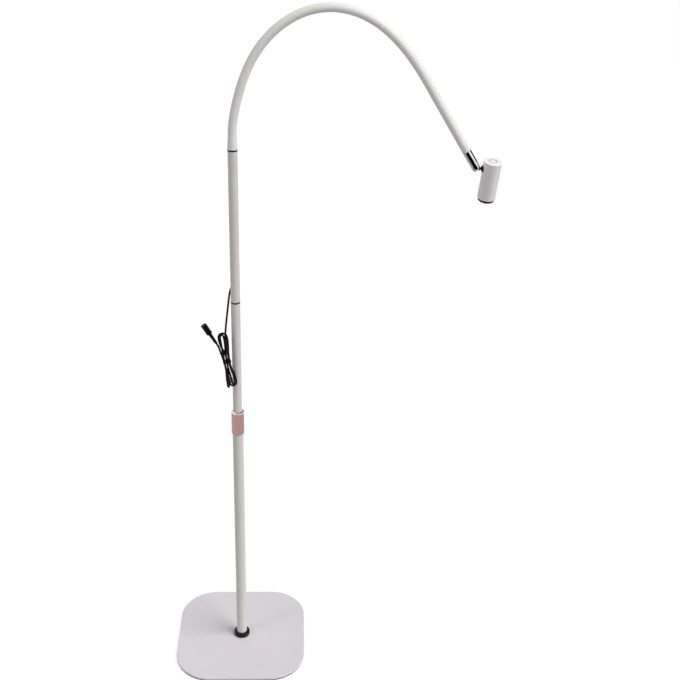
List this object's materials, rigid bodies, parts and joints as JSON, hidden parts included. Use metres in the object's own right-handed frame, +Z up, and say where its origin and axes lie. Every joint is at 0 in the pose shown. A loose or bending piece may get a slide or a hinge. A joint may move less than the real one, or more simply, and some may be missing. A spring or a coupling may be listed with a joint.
{
  "type": "led curing lamp",
  "caption": "Floor-standing LED curing lamp: weighted base, telescopic pole with twist lock, gooseneck arm and small ball-jointed head with a push button.",
  "frame": {"origin": "on the floor, at the middle of the base's underside, on the pole's axis", "axes": "+Z up the pole, +X the way the gooseneck reaches, +Y to the back"},
  "size_m": [0.6251, 0.28, 1.3871],
  "materials": {
    "white_enamel": "satin",
    "dark_rubber": "matte",
    "black_plastic": "gloss",
    "steel": "plain",
    "inner_plastic": "matte",
    "inner_aluminium": "machined",
    "rose_gold": "polished, anodised",
    "white_pvc": "smooth satin",
    "wire_sheath": "matte",
    "chrome": "mirror",
    "black_metal": "gloss",
    "white_shell": "satin",
    "button_white": "satin, grey ring mark",
    "board_green": "matte",
    "board_metal": "white solder mask",
    "switch_black": "matte",
    "led": "clear",
    "mirror_plastic": "mirror",
    "clear_glass": "clear",
    "dark_bezel": "gloss",
    "cord_black": "satin",
    "tie_black": "matte",
    "contact_metal": "bright"
  },
  "bodies": {
    "base": {"base_pad": "dark_rubber", "base_plate": "white_enamel", "foot_bolt": "steel", "pole_plug": "inner_plastic", "foot_collar": "black_plastic", "lower_tube": "white_enamel", "clamp_sleeve": "steel", "clamp_collet": "inner_plastic"},
    "collar": {"twist_collar": "rose_gold"},
    "slider": {"guide_plug": "inner_plastic"},
    "mast": {"mast_tube_lower": "white_enamel", "joint_coupler_lower": "inner_aluminium", "joint_ring_lower": "black_plastic", "mast_tube_upper": "white_enamel", "joint_coupler_upper": "inner_aluminium", "joint_ring_upper": "black_plastic", "cord_gland": "black_plastic", "neck_root": "white_enamel", "neck_sleeve": "white_pvc", "inner_wire": "wire_sheath", "cord_lead": "cord_black", "cord_hank": "cord_black", "cord_tie": "tie_black", "cord_tail": "cord_black", "socket_body": "cord_black", "socket_pin": "contact_metal"},
    "neck_01": {"neck_link_01": "steel"},
    "neck_02": {"neck_link_02": "steel"},
    "neck_03": {"neck_link_03": "steel"},
    "neck_04": {"neck_link_04": "steel"},
    "neck_05": {"neck_link_05": "steel"},
    "neck_06": {"neck_link_06": "steel"},
    "neck_07": {"neck_link_07": "steel"},
    "neck_08": {"neck_link_08": "steel"},
    "neck_09": {"neck_link_09": "steel"},
    "neck_10": {"neck_link_10": "steel"},
    "neck_11": {"neck_link_11": "steel"},
    "neck_12": {"neck_link_12": "steel"},
    "neck_13": {"neck_link_13": "steel", "tip_stud": "steel"},
    "cup": {"swivel_cup": "chrome", "swivel_screw": "steel", "ball_pad": "inner_plastic", "ball_spring": "steel"},
    "ball": {"pivot_ball": "steel"},
    "head": {"ball_stud": "steel", "head_saddle": "black_metal", "stud_nut": "steel", "head_housing": "white_shell", "top_cap": "white_shell", "control_board": "board_green", "tact_switch": "switch_black", "led_board": "board_metal", "led_emitter": "led", "reflector": "mirror_plastic", "lens": "clear_glass", "lens_bezel": "dark_bezel"},
    "button": {"power_button": "button_white"}
  },
  "joints": [
    {"name": "collar_twist", "type": "hinge", "parent": "base", "child": "collar", "pos_m": [0, 0, 0.5395], "axis": [0, 0, 1], "range_deg": [0, 90]},
    {"name": "mast_slide", "type": "slide", "parent": "base", "child": "slider", "axis": [0, 0, 1], "range_m": [-0.2, 0.17]},
    {"name": "mast_swivel", "type": "hinge", "parent": "slider", "child": "mast", "pos_m": [0, 0, 0.352], "axis": [0, 0, 1], "continuous": true},
    {"name": "neck_bend_01", "type": "hinge", "parent": "mast", "child": "neck_01", "pos_m": [0, 0, 1.1735], "axis": [0, 1, 0], "range_deg": [-11.05, 2.76], "deforming": ["neck_sleeve", "inner_wire"]},
    {"name": "neck_bend_02", "type": "hinge", "parent": "neck_01", "child": "neck_02", "pos_m": [0.00786, 0, 1.21374], "axis": [0, 1, 0], "range_deg": [-5.16, 1.29], "deforming": ["neck_sleeve", "inner_wire"]},
    {"name": "neck_bend_03", "type": "hinge", "parent": "neck_02", "child": "neck_03", "pos_m": [0.01931, 0, 1.25311], "axis": [0, 1, 0], "range_deg": [-7.37, 1.84], "deforming": ["neck_sleeve", "inner_wire"]},
    {"name": "neck_bend_04", "type": "hinge", "parent": "neck_03", "child": "neck_04", "pos_m": [0.03571, 0, 1.29068], "axis": [0, 1, 0], "range_deg": [-11.05, 2.76], "deforming": ["neck_sleeve", "inner_wire"]},
    {"name": "neck_bend_05", "type": "hinge", "parent": "neck_04", "child": "neck_05", "pos_m": [0.05902, 0, 1.32442], "axis": [0, 1, 0], "range_deg": [-12.53, 3.13], "deforming": ["neck_sleeve", "inner_wire"]},
    {"name": "neck_bend_06", "type": "hinge", "parent": "neck_05", "child": "neck_06", "pos_m": [0.08909, 0, 1.35229], "axis": [0, 1, 0], "range_deg": [-14, 3.5], "deforming": ["neck_sleeve", "inner_wire"]},
    {"name": "neck_bend_07", "type": "hinge", "parent": "neck_06", "child": "neck_07", "pos_m": [0.125, 0, 1.37206], "axis": [0, 1, 0], "range_deg": [-16.95, 4.24], "deforming": ["neck_sleeve", "inner_wire"]},
    {"name": "neck_bend_08", "type": "hinge", "parent": "neck_07", "child": "neck_08", "pos_m": [0.16513, 0, 1.3805], "axis": [0, 1, 0], "range_deg": [-17.98, 4.5], "deforming": ["neck_sleeve", "inner_wire"]},
    {"name": "neck_bend_09", "type": "hinge", "parent": "neck_08", "child": "neck_09", "pos_m": [0.20589, 0, 1.37614], "axis": [0, 1, 0], "range_deg": [-16.51, 4.13], "deforming": ["neck_sleeve", "inner_wire"]},
    {"name": "neck_bend_10", "type": "hinge", "parent": "neck_09", "child": "neck_10", "pos_m": [0.24374, 0, 1.36037], "axis": [0, 1, 0], "range_deg": [-13.56, 3.39], "deforming": ["neck_sleeve", "inner_wire"]},
    {"name": "neck_bend_11", "type": "hinge", "parent": "neck_10", "child": "neck_11", "pos_m": [0.27684, 0, 1.33617], "axis": [0, 1, 0], "range_deg": [-10.17, 2.54], "deforming": ["neck_sleeve", "inner_wire"]},
    {"name": "neck_bend_12", "type": "hinge", "parent": "neck_11", "child": "neck_12", "pos_m": [0.30514, 0, 1.30651], "axis": [0, 1, 0], "range_deg": [-6.63, 1.66], "deforming": ["neck_sleeve", "inner_wire"]},
    {"name": "neck_bend_13", "type": "hinge", "parent": "neck_12", "child": "neck_13", "pos_m": [0.32983, 0, 1.27378], "axis": [0, 1, 0], "range_deg": [-4.42, 1.11], "deforming": ["neck_sleeve", "inner_wire"]},
    {"name": "cup_swivel", "type": "hinge", "parent": "neck_13", "child": "cup", "pos_m": [0.41926, 0, 1.13393], "axis": [0.5388, 0, -0.8425], "range_deg": [-170, 170]},
    {"name": "ball_tilt", "type": "hinge", "parent": "cup", "child": "ball", "pos_m": [0.4392, 0, 1.10276], "axis": [0, 1, 0], "range_deg": [-34, 53]},
    {"name": "head_roll", "type": "hinge", "parent": "ball", "child": "head", "pos_m": [0.4392, 0, 1.10276], "axis": [0.9987, 0, -0.0506], "range_deg": [-150, 150]},
    {"name": "button_press", "type": "slide", "parent": "head", "child": "button", "axis": [-0.0497, 0.1908, -0.9804], "range_m": [0, 0.0008], "stiffness_N_per_m": 1200, "springref_m": -0.0008}
  ]
}
